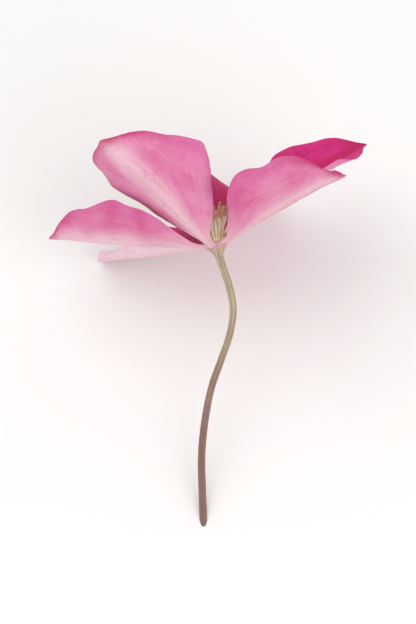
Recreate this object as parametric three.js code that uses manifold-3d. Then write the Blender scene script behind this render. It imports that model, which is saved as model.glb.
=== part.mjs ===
// A clematis flower, picked with its stalk and laid on a table.
// Six sepals, which are its coloured "petals", stand round a boss of stamens with a tuft of pistils in the middle.
// It rests on the pressed ends of its two back sepals and on the slanting cut of its stalk.
//
// Units are millimetres and degrees. Three frames are nested:
//   laid     the part's own frame: +Z up, the table at z = 0, the origin on the table under the flower's middle
//   upright  the flower as it grew: +Z up the plant, +X right, +Y away, origin at the top of the stalk
//   bloom    the flower's own axis, which leans a little from upright
import * as THREE from "three";
import { mergeVertices } from "three/addons/utils/BufferGeometryUtils.js";
import Module from "manifold-3d";

const wasm = await Module();
wasm.setup();

// Sepals
const SEPAL_LENGTH = 58; // along the midrib
const SEPAL_WIDTH = 37; // flattened out
const BLADE_THICKNESS = 0.64;
const CLAW_WIDTH = 2.9; // the narrow foot of a sepal
const CLAW_THICKNESS = 0.9;
const FOOT_SHARE = 0.06; // of the length is only foot
const SHOULDER_RISE = 1; // powers that set how the outline widens from the foot and closes to the tip
const TIP_FALL = 0.85;
const TIP_WIDTH = 0.7;
const WAVES = 3.2; // along each margin
const WAVE_HEIGHT = 0.8;
const RIB_HEIGHT = 0.4; // three ribs run along the back of each sepal
const RIB_SPREAD = 0.16; // of the half width, from the midrib to each side rib

// Middle
const RECEPTACLE_RADIUS = 3.3;
const CLAW_RADIUS = 3.9; // where the sepals start, clear of the receptacle
const DOME_RADIUS = 3.1; // carries the stamens
const DOME_BOTTOM = 1.1;
const STAMEN_LENGTH = 12.5;
const TUFT_RADIUS = 1; // carries the styles
const TUFT_BOTTOM = 3.5;
const STYLE_LENGTH = 7;
const STYLES = 15;

// Stalk
const STALK_RADIUS = 1.15;
const STALK_SIDES = 12;
const STALK_STEPS = 30;

// How the flower lies
const LAY_BACK = 60; // the upright flower is tipped over backwards by this much
const LEAN_LEFT = 12; // the bloom's axis leans from upright
const LEAN_BACK = 6;
const STALK_TOP = [2.8, 19.1, 38.8]; // in the laid frame
const PRESS_SOFTNESS = 0.4; // how far above the table a drooping margin starts to bend flat

// Fineness of the blades
const PATH_STEPS = 120; // in which a midrib's path is added up
const ROWS = 18; // from foot to tip
const ROW_CROWDING = 1.25; // rows lie closer together towards the tip
const COLUMNS = [-1, -0.8, -0.52, -0.26, -RIB_SPREAD, -0.08, 0, 0.08, RIB_SPREAD, 0.26, 0.52, 0.8, 1];

const RESTING_HEIGHT = BLADE_THICKNESS / 2; // of the middle surface of a blade that lies on the table

const radians = THREE.MathUtils.degToRad;
const smoothstep = THREE.MathUtils.smoothstep;

const laid = new THREE.Group();
const upright = new THREE.Group();
const bloom = new THREE.Group();
laid.add(upright);
upright.add(bloom);
upright.rotation.x = -radians(LAY_BACK);
upright.position.set(...STALK_TOP);
bloom.rotation.set(-radians(LEAN_BACK), -radians(LEAN_LEFT), 0);
laid.updateMatrixWorld(true);

// The six sepals in order round the flower. Azimuth is where the foot starts, and sweep how far the blade swings
// sideways from there. Lift is the angle above the bloom's plane at the foot, arch how much it changes along the
// blade and recurve how far the end rolls back. Keel is the fold at the midrib, cup the further angle that each
// half curls up by, and roll turns the blade about its midrib towards the tip. Phase shifts the margin's waves.
const sepals = {
  sepal_front_left: {
    azimuth: 235, sweep: -8, lift: 37, arch: 5, recurve: 2,
    keel: 8, cup: 36, roll: 9, phase: 0.2, length: 0.98 * SEPAL_LENGTH, width: 1.13 * SEPAL_WIDTH,
  },
  sepal_left: {
    azimuth: 175.2, sweep: -12, lift: 15, arch: 2, recurve: 0,
    keel: 11, cup: 42, roll: 6, phase: 0.4, length: 0.91 * SEPAL_LENGTH, width: 1.08 * SEPAL_WIDTH,
  },
  sepal_back_left: {
    azimuth: 122.2, sweep: 17, lift: 6, arch: 6, recurve: 4,
    keel: 6, cup: 30, roll: -18, phase: 0.9, length: 0.95 * SEPAL_LENGTH, width: SEPAL_WIDTH,
  },
  sepal_back: {
    azimuth: 74.7, sweep: 0, lift: 25.5, arch: 12, recurve: 68,
    keel: 6, cup: 22, roll: 28, phase: 0.6, length: SEPAL_LENGTH, width: 0.9 * SEPAL_WIDTH,
  },
  sepal_right: {
    azimuth: 14.5, sweep: 2, lift: 25, arch: 2, recurve: 10,
    keel: 7, cup: 35, roll: 26.3, phase: 0.2, length: 1.03 * SEPAL_LENGTH, width: SEPAL_WIDTH,
  },
  sepal_front_right: {
    azimuth: -46, sweep: 4, lift: 10, arch: 1, recurve: 9,
    keel: 11, cup: 46, roll: -17, phase: 0.84, length: SEPAL_LENGTH, width: 1.03 * SEPAL_WIDTH,
  },
};

// A direction in the bloom frame, by azimuth and by angle above the bloom's plane.
function direction(azimuth, lift) {
  const [a, e] = [radians(azimuth), radians(lift)];
  return new THREE.Vector3(Math.cos(e) * Math.cos(a), Math.cos(e) * Math.sin(a), Math.sin(e));
}

// Half the width of a sepal at s, its share of the way from foot to tip: narrow foot, broad shoulders, short point.
function halfWidth(width, s) {
  const peak = SHOULDER_RISE / (SHOULDER_RISE + TIP_FALL);
  const u = Math.max(s - FOOT_SHARE, 0) / (1 - FOOT_SHARE);
  const outline = (u / peak) ** SHOULDER_RISE * ((1 - u) / (1 - peak)) ** TIP_FALL;
  return (CLAW_WIDTH * (1 - s) ** 3 + width * outline + TIP_WIDTH * s) / 2;
}

// The height at which a blade's middle surface ends up when the table holds up what would sink into it.
function pressed(height) {
  const over = height - RESTING_HEIGHT;
  if (over >= PRESS_SOFTNESS) return height;
  if (over <= -PRESS_SOFTNESS) return RESTING_HEIGHT;
  return RESTING_HEIGHT + (over + PRESS_SOFTNESS) ** 2 / (4 * PRESS_SOFTNESS);
}

// The midrib of a sepal in the laid frame: evenly spaced points, each with the direction across the blade and the one
// towards its inner side.
function midribOf({ azimuth, sweep, lift, arch, recurve, roll, length }) {
  const toTable = bloom.matrixWorld;
  const at = direction(azimuth, 0).multiplyScalar(CLAW_RADIUS).applyMatrix4(toTable);
  const midrib = [];
  for (let i = 0; i <= PATH_STEPS; i++) {
    const s = i / PATH_STEPS;
    const heading = azimuth + sweep * s;
    const along = direction(heading, lift + arch * s - recurve * smoothstep(s, 0.6, 1));
    const across = direction(heading + 90, 0).applyAxisAngle(along, radians(roll) * smoothstep(s, 0, 1));
    along.transformDirection(toTable);
    across.transformDirection(toTable);
    midrib.push({ at: at.clone(), across, inward: along.clone().cross(across) });
    at.addScaledVector(along, length / PATH_STEPS);
  }
  return midrib;
}

// The middle surface of a sepal's blade, in the laid frame, as a function of s along it and t across it (-1 to 1).
function bladeOf(sepal) {
  const midrib = midribOf(sepal);
  return (s, t) => {
    const place = s * PATH_STEPS;
    const i = Math.min(Math.floor(place), PATH_STEPS - 1);
    const blend = (key) => midrib[i][key].clone().lerp(midrib[i + 1][key], place - i);
    // Across the blade each half turns up by the keel's fold at once and by the cup's angle evenly.
    const fold = radians(sepal.keel) * smoothstep(s, 0, 0.3);
    const curl = radians(sepal.cup) * (1 - 0.4 * smoothstep(s, 0.7, 1));
    const end = fold + curl * Math.abs(t);
    const sideways = (Math.sin(end) - Math.sin(fold)) / curl;
    const rise = (Math.cos(fold) - Math.cos(end)) / curl;
    const half = halfWidth(sepal.width, s);
    const ripple = Math.sin(2 * Math.PI * (WAVES * s + sepal.phase + 0.15 * t));
    const wave = WAVE_HEIGHT * Math.abs(t) ** 3 * smoothstep(s, 0.15, 0.45) * ripple;
    const point = blend("at");
    point.addScaledVector(blend("across"), Math.sign(t) * half * sideways);
    point.addScaledVector(blend("inward"), half * rise + wave);
    return point.setZ(pressed(point.z));
  };
}

// How high a rib stands out of a blade's back: it dies away towards the tip and where the blade is pressed flat.
function ribHeight(s, middle) {
  const clearance = middle.z - RESTING_HEIGHT;
  return RIB_HEIGHT * (1 - smoothstep(s, 0.6, 0.95)) * smoothstep(clearance, 0, 2 * RIB_HEIGHT);
}

// A closed mesh through rings with an even number of points each. The two halves of a ring are split into triangles
// the opposite way round, so that the two faces of a blade are split alike.
function loft(rings) {
  const sides = rings[0].length;
  const faces = [];
  for (let i = 0; i < rings.length - 1; i++) {
    for (let k = 0; k < sides; k++) {
      const [a, b] = [i * sides + k, i * sides + ((k + 1) % sides)];
      const [c, d] = [b + sides, a + sides];
      if (k < sides / 2) faces.push(a, b, c, a, c, d);
      else faces.push(a, b, d, b, c, d);
    }
  }
  const last = (rings.length - 1) * sides;
  for (let k = 0; k < sides / 2 - 1; k++) {
    const [a, b, c, d] = [k, k + 1, sides - 2 - k, sides - 1 - k];
    faces.push(a, c, b, a, d, c);
    faces.push(last + a, last + b, last + c, last + a, last + c, last + d);
  }
  const geometry = new THREE.BufferGeometry();
  geometry.setFromPoints(rings.flat());
  geometry.setIndex(faces);
  return geometry;
}

// One sepal: each ring of its loft runs across the outer face and back across the inner face.
function sepalGeometry(sepal) {
  const blade = bladeOf(sepal);
  const step = 1e-3;
  const rings = [];
  for (let i = 0; i <= ROWS; i++) {
    const s = 1 - (1 - i / ROWS) ** ROW_CROWDING;
    const half = THREE.MathUtils.lerp(CLAW_THICKNESS, BLADE_THICKNESS, smoothstep(s, 0, 0.2)) / 2;
    const outer = [];
    const inner = [];
    for (const t of COLUMNS) {
      const middle = blade(s, t);
      const lengthwise = blade(Math.min(s + step, 1), t).sub(blade(Math.max(s - step, 0), t));
      const crosswise = blade(s, Math.min(t + step, 1)).sub(blade(s, Math.max(t - step, -1)));
      const normal = lengthwise.cross(crosswise).normalize();
      const ribbed = t === 0 || Math.abs(t) === RIB_SPREAD;
      const rib = ribbed ? ribHeight(s, middle) : 0;
      outer.push(middle.clone().addScaledVector(normal, -half - rib));
      inner.unshift(middle.clone().addScaledVector(normal, half));
    }
    rings.push([...outer, ...inner]);
  }
  return loft(rings);
}

// A closed tube along a list of points, with a radius at each of them.
function tubeGeometry(points, radii, sides) {
  const spoke = new THREE.Vector3(0.6, 0.8, 0);
  const rings = points.map((point, i) => {
    const next = points[Math.min(i + 1, points.length - 1)];
    const along = next.clone().sub(points[Math.max(i - 1, 0)]).normalize();
    spoke.addScaledVector(along, -spoke.dot(along)).normalize();
    return Array.from({ length: sides }, (_, k) =>
      spoke.clone().applyAxisAngle(along, (2 * Math.PI * k) / sides).multiplyScalar(radii[i]).add(point),
    );
  });
  return loft(rings);
}

// A dome or disc that is round about the +Z axis, from a profile of [radius, height] pairs.
function turned(profile, sides) {
  const points = profile.map(([radius, height]) => new THREE.Vector2(radius, height));
  return new THREE.LatheGeometry(points, sides).rotateX(Math.PI / 2);
}

function solidOf(geometry) {
  const bare = geometry.clone();
  bare.deleteAttribute("normal");
  bare.deleteAttribute("uv");
  const merged = mergeVertices(bare);
  const vertProperties = merged.attributes.position.array;
  const triVerts = new Uint32Array(merged.index.array);
  return new wasm.Manifold(new wasm.Mesh({ numProp: 3, vertProperties, triVerts }));
}

function geometryOf(solid) {
  const { vertProperties, triVerts } = solid.getMesh();
  const geometry = new THREE.BufferGeometry();
  geometry.setAttribute("position", new THREE.BufferAttribute(vertProperties, 3));
  geometry.setIndex(new THREE.BufferAttribute(triVerts, 1));
  return geometry;
}

// Draws numbers from 0 to 1, the same ones each time for the same seed.
function seededRandom(seed) {
  let state = seed;
  return () => {
    state = (state * 1664525 + 1013904223) % 2 ** 32;
    return state / 2 ** 32;
  };
}

// Stamens: three whorls of slender filaments, each ending in a long anther, rooted in a low dome.
const whorls = [
  { count: 18, root: [2.6, 1.6], lift: 52, length: STAMEN_LENGTH },
  { count: 14, root: [2.25, 2.1], lift: 65, length: 0.96 * STAMEN_LENGTH },
  { count: 10, root: [2.0, 2.6], lift: 76, length: 0.88 * STAMEN_LENGTH },
];
const stamenShares = [0, 0.3, 0.56, 0.62, 0.8, 0.94, 1]; // of the length, with the anther from 0.56 on
const stamenRadii = [0.42, 0.36, 0.32, 0.6, 0.68, 0.5, 0.16];

function stamensGeometry() {
  const random = seededRandom(7);
  const dome = [[0, 0], [DOME_RADIUS - 0.2, 0], [DOME_RADIUS, 0.6], [2.6, 1.5], [1.7, 2.1], [0, 2.1]];
  let solid = solidOf(turned(dome, 16).translate(0, 0, DOME_BOTTOM));
  whorls.forEach(({ count, root, lift, length }, w) => {
    for (let i = 0; i < count; i++) {
      const azimuth = (360 / count) * (i + 0.5 * w + 0.3 * (random() - 0.5));
      const tilt = lift + 8 * (random() - 0.5);
      const reach = length * (0.92 + 0.16 * random());
      const foot = direction(azimuth, 0).multiplyScalar(root[0]).setZ(root[1]);
      const points = stamenShares.map((share) =>
        foot.clone().addScaledVector(direction(azimuth, tilt + 14 * (0.5 - share)), reach * share),
      );
      solid = solid.add(solidOf(tubeGeometry(points, stamenRadii, 4)));
    }
  });
  return geometryOf(solid);
}

// Pistils: a tuft of silky styles in the middle of the stamens.
const styleShares = [0, 0.5, 0.85, 1];
const styleRadii = [0.32, 0.27, 0.21, 0.1];

function pistilsGeometry() {
  const random = seededRandom(23);
  const tuft = [[0, 0], [TUFT_RADIUS - 0.1, 0], [TUFT_RADIUS, 0.6], [0.7, 1.5], [0, 1.7]];
  let solid = solidOf(turned(tuft, 12).translate(0, 0, TUFT_BOTTOM));
  for (let i = 0; i < STYLES; i++) {
    const azimuth = i * 137.5;
    const outward = Math.sqrt((i + 0.5) / STYLES);
    const lift = 88 - 9 * outward - 4 * random();
    const length = STYLE_LENGTH * (0.8 + 0.25 * random()) * (1 - 0.12 * outward);
    const foot = direction(azimuth, 0).multiplyScalar(0.75 * TUFT_RADIUS * outward).setZ(TUFT_BOTTOM + 0.8);
    const points = styleShares.map((share) => {
      const heading = direction(azimuth + 20 * share, lift - 8 * share ** 2 * outward);
      return foot.clone().addScaledVector(heading, length * share);
    });
    solid = solid.add(solidOf(tubeGeometry(points, styleRadii, 4)));
  }
  return geometryOf(solid);
}

// Stalk: a round stem that follows the curve it grew in, with the receptacle that carries the sepals at its top.
const stalkPath = [
  [0, 0, 0],
  [1.7, -0.4, -6.4],
  [4.1, -0.8, -13.4],
  [5.5, -1.2, -21.4],
  [4.4, -1.8, -29.6],
  [1.6, -2.4, -37.8],
  [-1.6, -3.0, -47],
  [-3.8, -3.9, -58],
  [-4.9, -5.0, -70],
  [-4.6, -6.6, -83],
  [-4.2, -7.6, -94],
];
const receptacle = [
  [0, -3.6], [1.5, -3.6], [2.2, -2.3], [3.1, -1.2],
  [RECEPTACLE_RADIUS, -0.6], [RECEPTACLE_RADIUS, 0.4], [2.8, 0.8], [0, 0.8],
];

function stalkGeometry() {
  const curve = new THREE.CatmullRomCurve3(stalkPath.map((point) => new THREE.Vector3(...point)));
  const points = curve.getSpacedPoints(STALK_STEPS);
  const radii = points.map((_, i) => {
    const share = i / STALK_STEPS;
    return STALK_RADIUS * (1 + 0.18 * (1 - share) ** 6 + 0.12 * share);
  });
  const seat = turned(receptacle, 24).applyMatrix4(bloom.matrix);
  const solid = solidOf(tubeGeometry(points, radii, STALK_SIDES)).add(solidOf(seat));
  // The slanting cut at the end of the stalk lies flat on the table.
  const up = new THREE.Vector3(0, 0, 1).applyQuaternion(upright.quaternion.clone().invert());
  return geometryOf(solid.trimByPlane(up.toArray(), -upright.position.z));
}

function piece(name, geometry, color, roughness) {
  const mesh = new THREE.Mesh(geometry, new THREE.MeshStandardMaterial({ color, roughness, metalness: 0 }));
  mesh.name = name;
  return mesh;
}

for (const [name, sepal] of Object.entries(sepals)) {
  laid.add(piece(name, sepalGeometry(sepal), 0xdf6aa0, 0.6));
}
bloom.add(piece("stamens", stamensGeometry(), 0xd8c49a, 0.7));
bloom.add(piece("pistils", pistilsGeometry(), 0xe6e2b8, 0.7));
upright.add(piece("stalk", stalkGeometry(), 0xa79a6c, 0.7));

export default laid;
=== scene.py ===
"""A clematis flower, picked with its stalk and laid on a table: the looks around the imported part.

Lengths are in millimetres while shapes are worked out, and in metres from the moment they become meshes.
Three frames are nested, as in the part: laid (the part's own), upright (as the flower grew) and bloom (its
own axis). A place on a sepal is s, from 0 at its foot to 1 at its tip, and t, from -1 to 1 across it.
"""

import math
from types import SimpleNamespace

import bmesh
import bpy
import numpy as np
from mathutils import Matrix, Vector


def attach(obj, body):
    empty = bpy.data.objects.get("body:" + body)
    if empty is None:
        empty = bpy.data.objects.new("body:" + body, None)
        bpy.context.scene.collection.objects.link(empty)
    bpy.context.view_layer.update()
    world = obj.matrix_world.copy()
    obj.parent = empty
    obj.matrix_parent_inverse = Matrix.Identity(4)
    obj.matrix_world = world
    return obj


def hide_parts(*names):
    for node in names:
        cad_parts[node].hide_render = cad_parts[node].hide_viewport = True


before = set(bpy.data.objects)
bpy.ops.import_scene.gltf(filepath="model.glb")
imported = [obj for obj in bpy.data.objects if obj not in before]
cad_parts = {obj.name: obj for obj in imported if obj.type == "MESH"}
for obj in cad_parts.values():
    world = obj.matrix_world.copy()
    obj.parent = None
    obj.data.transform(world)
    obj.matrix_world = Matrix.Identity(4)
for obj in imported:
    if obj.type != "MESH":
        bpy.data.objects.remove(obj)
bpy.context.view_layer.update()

MM = 0.001
TURN = 2 * math.pi

# How the flower lies
LAY_BACK = 60
LEAN_LEFT = 12
LEAN_BACK = 6
STALK_TOP = np.array([2.8, 19.1, 38.8])

# Sepals: the part's own numbers
SEPAL_LENGTH = 58
SEPAL_WIDTH = 37
CLAW_WIDTH = 2.9
CLAW_RADIUS = 3.9
FOOT_SHARE = 0.06
SHOULDER_RISE = 1
TIP_FALL = 0.85
WAVES = 3.2
WAVE_HEIGHT = 0.8
RIB_SPREAD = 0.16
PRESS_SOFTNESS = 0.4
PATH_STEPS = 120

# Sepals: what is finer here
BLADE_ROWS = 150
BLADE_HALF = 0.2  # half the thickness of the blade
CLAW_HALF = 0.45
MARGIN_ROUNDING = 10  # the higher, the closer to the margin a blade begins to thin
ROOT_LENGTH = 1.7  # how far a foot reaches into the receptacle
TIP_END = 0.9985  # where the last ring of points lies, just short of the tip
RIBS = ((-RIB_SPREAD, 0.8), (0, 1.0), (RIB_SPREAD, 0.8))  # place across, and height by that of the midrib
RIB_HEIGHT = 0.42
RIB_BREADTH = 0.42
GROOVE_DEPTH = 0.16
OUTER_VEIN = 0.44  # place across of a fainter rib, which is only coloured
FOOT_SOFTNESS = 0.035  # how gently the blade widens from its foot
TIP_CALM = 0.07  # share of a sepal at its tip in which the waves die out
POINT_DRAW = 0.24  # how much narrower a sepal is just before its tip, which draws it out to a point
POINT_PLACE = 0.97
POINT_SPREAD = 0.05
CRIMP = dict(height=0.22, rate=8, seeds=(100, 230))
UNEVEN_EDGE = dict(height=0.008, rate=12, seeds=(300, 400))
PUCKERS = ((0.1, 4.2, 1.7, 0), (0.05, 1.6, 0.9, 50))  # height, length, breadth and seed
PATTERN_SPAN = 100  # length on a sepal for one unit of its flat map
PATTERN_SHIFT = np.array([1.7, 0.9])  # from one sepal's stretch of the pattern to the next

# azimuth and sweep give a sepal's heading, and lift, arch and recurve its rise at the foot, along its length
# and, downwards, at the tip. keel folds it at the midrib, cup curls its sides, roll turns it about itself and
# flare opens one side. phase says where its waves begin, pale how pale its outer face is, and deep how far up
# its inner face is crimson, which on the back sepal is also painted shade. swells (side, s, amount, spread)
# widen one side or, below 0, narrow it. washes (s, t, spread along s, spread along t, amount) are patches
# that
# are paler or, below 0, deeper: partly the sepal's own uneven tone and partly painted light and shade.
SEPALS = {
    "sepal_front_left": dict(
        azimuth=235, sweep=-8, lift=37, arch=5, recurve=2,
        keel=8, cup=36, roll=9, phase=0.2, length=1.005 * SEPAL_LENGTH, width=1.13 * SEPAL_WIDTH,
        pale=-0.08, crimson_and_shade_reach=0.0, swells=[(1, 0.3, -0.09, 0.11), (1, 0.55, 0.08, 0.12), (1, 0.94, 0.1, 0.05)],
        washes_and_painted_light=[
            (0.39, 0.72, 0.12, 0.25, 0.16), (0.86, 0.28, 0.1, 0.3, 0.25), (0.63, 0.42, 0.12, 0.2, -0.14),
            (0.56, -0.1, 0.2, 0.15, -0.18),
        ],
    ),
    "sepal_left": dict(
        azimuth=175.2, sweep=-12, lift=15, arch=2, recurve=0,
        keel=11, cup=42, roll=6, phase=0.4, length=0.91 * SEPAL_LENGTH, width=1.08 * SEPAL_WIDTH,
        pale=0.1, crimson_and_shade_reach=0.3, swells=[(1, 0.37, 0.12, 0.08), (1, 0.5, 0.07, 0.14)],
        washes_and_painted_light=[
            (0.62, -0.12, 0.2, 0.25, 0.3), (0.55, 0.85, 0.06, 0.3, -0.38), (0.37, 0.7, 0.055, 0.5, -0.5),
            (0.71, 0.42, 0.05, 0.3, -0.22), (0.28, 0.1, 0.09, 0.3, -0.22),
        ],
    ),
    # The paler wash on this sepal is painted light, laid over the shade that the left sepal casts on it.
    "sepal_back_left": dict(
        azimuth=122.2, sweep=17, lift=6, arch=6, recurve=4,
        keel=6, cup=30, roll=-18, phase=0.9, length=0.95 * SEPAL_LENGTH, width=SEPAL_WIDTH,
        pale=1.0, crimson_and_shade_reach=0.3, swells=[], washes_and_painted_light=[(0.5, 0.8, 0.3, 0.5, 0.6)], flare=(-1, 9),
    ),
    # Crimson all the way up its inner face: partly its own colour, partly painted shade for the inside of the
    # cup.
    "sepal_back": dict(
        azimuth=74.7, sweep=0, lift=25.5, arch=12, recurve=68,
        keel=6, cup=22, roll=28, phase=0.6, length=SEPAL_LENGTH, width=0.9 * SEPAL_WIDTH,
        pale=0.2, crimson_and_shade_reach=1.0, swells=[], washes_and_painted_light=[(0.5, 0.3, 0.2, 0.3, 0.15)],
    ),
    "sepal_right": dict(
        azimuth=14.5, sweep=2, lift=25, arch=2, recurve=10,
        keel=7, cup=35, roll=26.3, phase=0.2, length=1.03 * SEPAL_LENGTH, width=SEPAL_WIDTH,
        pale=0.1, crimson_and_shade_reach=0.1, swells=[(1, 0.68, 0.06, 0.14)], flare=(-1, 12),
        washes_and_painted_light=[(0.4, -0.5, 0.15, 0.3, 0.15), (0.7, 0.2, 0.15, 0.3, -0.1)],
    ),
    # The deeper patches near its left margin are painted shade, where that margin curls away from the light.
    "sepal_front_right": dict(
        azimuth=-46, sweep=4, lift=10, arch=1, recurve=9,
        keel=11, cup=46, roll=-17, phase=0.84, length=SEPAL_LENGTH, width=1.03 * SEPAL_WIDTH,
        pale=-0.18, crimson_and_shade_reach=0.1, swells=[(-1, 0.2, -0.13, 0.1), (-1, 0.36, 0.09, 0.11), (-1, 0.66, -0.06, 0.13)],
        washes_and_painted_light=[
            (0.57, -0.52, 0.12, 0.2, 0.16), (0.57, -0.92, 0.12, 0.12, -0.2), (0.47, -0.18, 0.2, 0.2, 0.14),
            (0.38, -0.82, 0.09, 0.22, -0.42), (0.3, -0.58, 0.1, 0.2, -0.3),
        ],
    ),
}

# Stamens. Profiles are pairs of radius and height in the bloom frame.
STAMEN_LENGTH = 12.5
ANTHER_START = 0.56  # share of a stamen's length
WHORLS = [
    dict(count=18, root=(2.6, 1.6), lift=52, length=STAMEN_LENGTH),
    dict(count=14, root=(2.25, 2.1), lift=65, length=0.96 * STAMEN_LENGTH),
    dict(count=10, root=(2.0, 2.6), lift=76, length=0.88 * STAMEN_LENGTH),
]
STAMEN_SIDES = 24
# Half sizes of a stamen at the root and top of its filament, and at the ends and middle of its anther
STAMEN_WIDE = (0.46, 0.26, 0.13, 0.63)
STAMEN_THICK = (0.2, 0.16, 0.1, 0.4)
STAMEN_TIP = 0.03
SEAM_DEPTH = 0.3
FURROW_DEPTH = 0.34
DOME_PROFILE = np.array([
    (0.05, 0.5), (2.8, 0.6), (3.05, 1.5), (2.95, 2.0), (2.6, 2.6), (1.7, 3.15), (0.8, 3.3), (0.05, 3.3),
])
DOME_RIB = 0.055  # height of the ribs on the dome, by its radius
BASE_TONE = 0.1  # the dome and the tuft are coloured as what they carry is at this share of its length

# Styles
STYLES = 15
STYLE_LENGTH = 7
STYLE_SIDES = 10
STYLE_RADIUS = ((0, 0.5, 0.85, 1), (0.3, 0.25, 0.2, 0.09))  # shares of the length, and the radius there
STYLE_ROOT = 4.3
GOLDEN_ANGLE = 137.5
TUFT_SIDES = 28
TUFT_PROFILE = np.array([(0.05, 2.9), (0.85, 3.0), (1.0, 4.1), (0.7, 5.0), (0.3, 5.2), (0.05, 5.2)])

# Stalk
STALK_RADIUS = 1.15
STALK_TOP_FLARE = 0.18  # how much thicker the stalk is at its top, and at its foot
STALK_FOOT_FLARE = 0.12
STALK_RIBS = 6
STALK_FURROW = 0.045
STALK_TWIST = 1.1
STALK_ROWS = 200
STALK_SIDES = 36
ROUGHNESS = 0.02
STALK_PATH = [
    (0, 0, 0), (1.7, -0.4, -6.4), (4.1, -0.8, -13.4), (5.5, -1.2, -21.4), (4.4, -1.8, -29.6),
    (1.6, -2.4, -37.8), (-1.6, -3.0, -47), (-3.8, -3.9, -58), (-4.9, -5.0, -70), (-4.6, -6.6, -83),
    (-4.2, -7.6, -94),
]
STALK_START = (0.6, 0.8, 0)  # where the first side of the stalk faces
SEAT_SIDES = 72
SEAT_PROFILE = np.array([
    (0.6, -4.6), (1.35, -4.2), (1.5, -3.6), (1.85, -2.9), (2.3, -2.2), (2.8, -1.6), (3.15, -1.0),
    (3.3, -0.5), (3.34, 0.0), (3.2, 0.45), (2.8, 0.8), (2.0, 0.9), (0.05, 0.9),
])
LOBE_HEIGHT = 0.05  # by the receptacle's radius
LOBE_SPREAD = 17

# Hairs, of three sides. Their sag is by their length.
HAIR_RINGS = ((0, 1), (0.5, 0.7), (1, 0))  # share of the length, and of the radius there
DOWN_HAIR = dict(radius=0.011, sag=0.05)
SILK_HAIR = dict(radius=0.022, sag=0)
STALK_HAIR = dict(radius=0.018, sag=0.12)
DOWN_HAIRS = 760  # on each sepal
MARGIN_HAIRS = 420  # of those, on its margins
SILK_HAIRS = 46  # on each style
STALK_HAIRS = 2600
SEAT_HAIRS = 700
DOWN_CLEARANCE = 0.6  # no hair grows closer to the table
STALK_CLEARANCE = 0.5

# Stage, in metres
FLOOR_REACH = 3
LIGHTS_AT = (0, 0.02, 0.03)
LIGHTS = {
    "key": dict(place=(-0.55, 0.25, 1.3), size=1.4, power=5.6),
    "fill": dict(place=(0.7, -0.75, 0.9), size=1.3, power=4.8),
}
WORLD_STRENGTH = 0.8
SENSOR_WIDTH = 36
CAMERA = dict(target=(0.0, -0.0015, 0.03), elevation=60, distance=2.0, view_width=0.137)


# Frames and small mathematics


def turn_x(angle):
    c, s = math.cos(math.radians(angle)), math.sin(math.radians(angle))
    return np.array([[1, 0, 0], [0, c, -s], [0, s, c]])


def turn_y(angle):
    c, s = math.cos(math.radians(angle)), math.sin(math.radians(angle))
    return np.array([[c, 0, s], [0, 1, 0], [-s, 0, c]])


UPRIGHT_TO_LAID = turn_x(-LAY_BACK)
BLOOM_TO_UPRIGHT = turn_x(-LEAN_BACK) @ turn_y(-LEAN_LEFT)
BLOOM_TO_LAID = UPRIGHT_TO_LAID @ BLOOM_TO_UPRIGHT


def from_bloom(points):
    return points @ BLOOM_TO_LAID.T + STALK_TOP


def from_upright(points):
    return points @ UPRIGHT_TO_LAID.T + STALK_TOP


def smooth(value, low, high):
    """Rises smoothly from 0 at low to 1 at high."""
    x = np.clip((np.asarray(value, float) - low) / (high - low), 0, 1)
    return x * x * (3 - 2 * x)


def bell(value, centre, spread):
    """1 at the centre, falling off to 0 on both sides."""
    return np.exp(-(((value - centre) / spread) ** 2))


def grid(*values):
    """Arrays spread over each other, as the last index of one array."""
    return np.stack(np.broadcast_arrays(*values), -1)


def full_turn(sides):
    return np.linspace(0, TURN, sides, endpoint=False)


def between(at, knots, values):
    """Each column of values, interpolated at places between its knots."""
    return np.stack([np.interp(at, knots, column) for column in values.T], -1)


def unit(vectors):
    return vectors / np.linalg.norm(vectors, axis=-1, keepdims=True)


def direction(azimuth, lift):
    """A direction in the bloom frame, by azimuth and by angle above the bloom's plane, in degrees."""
    a, e = np.radians(azimuth), np.radians(lift)
    return grid(np.cos(e) * np.cos(a), np.cos(e) * np.sin(a), np.sin(e))


def turned_about(vectors, axes, angles):
    """Vectors turned about unit axes by angles in radians, row by row."""
    c, s = np.cos(angles)[..., None], np.sin(angles)[..., None]
    along = np.sum(vectors * axes, -1, keepdims=True)
    return vectors * c + np.cross(axes, vectors) * s + axes * along * (1 - c)


def field(x, y, seed):
    """Smooth noise from -1 to 1 over a plane, with features about 1 unit across."""
    columns, rows = 97, 89
    lattice = np.random.default_rng(seed).uniform(-1, 1, (columns, rows))
    column, row = np.floor(x).astype(int), np.floor(y).astype(int)
    u, v = smooth(x - column, 0, 1), smooth(y - row, 0, 1)

    def corner(i, j):
        return lattice[(column + i) % columns, (row + j) % rows]

    low = corner(0, 0) * (1 - u) + corner(1, 0) * u
    high = corner(0, 1) * (1 - u) + corner(1, 1) * u
    return low * (1 - v) + high * v


def ripple(x, seed):
    """Smooth uneven waves from about -1 to 1 along a line, of about 1 to 3 units each."""
    starts = np.random.default_rng(seed).random(3)
    return sum(np.sin(TURN * (x * rate + start)) for rate, start in zip((0.33, 0.57, 0.9), starts)) / 2


class SameDraws:
    """Draws the same numbers from 0 to 1 as the part does for its seed."""

    RANGE = 2**32

    def __init__(self, seed):
        self.state = seed

    def __call__(self):
        self.state = (self.state * 1664525 + 1013904223) % self.RANGE
        return self.state / self.RANGE


# Making meshes


def new_object(name, data):
    """An object of the scene, from a mesh, a light or a camera."""
    made = bpy.data.objects.new(name, data)
    bpy.context.scene.collection.objects.link(made)
    return made


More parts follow.
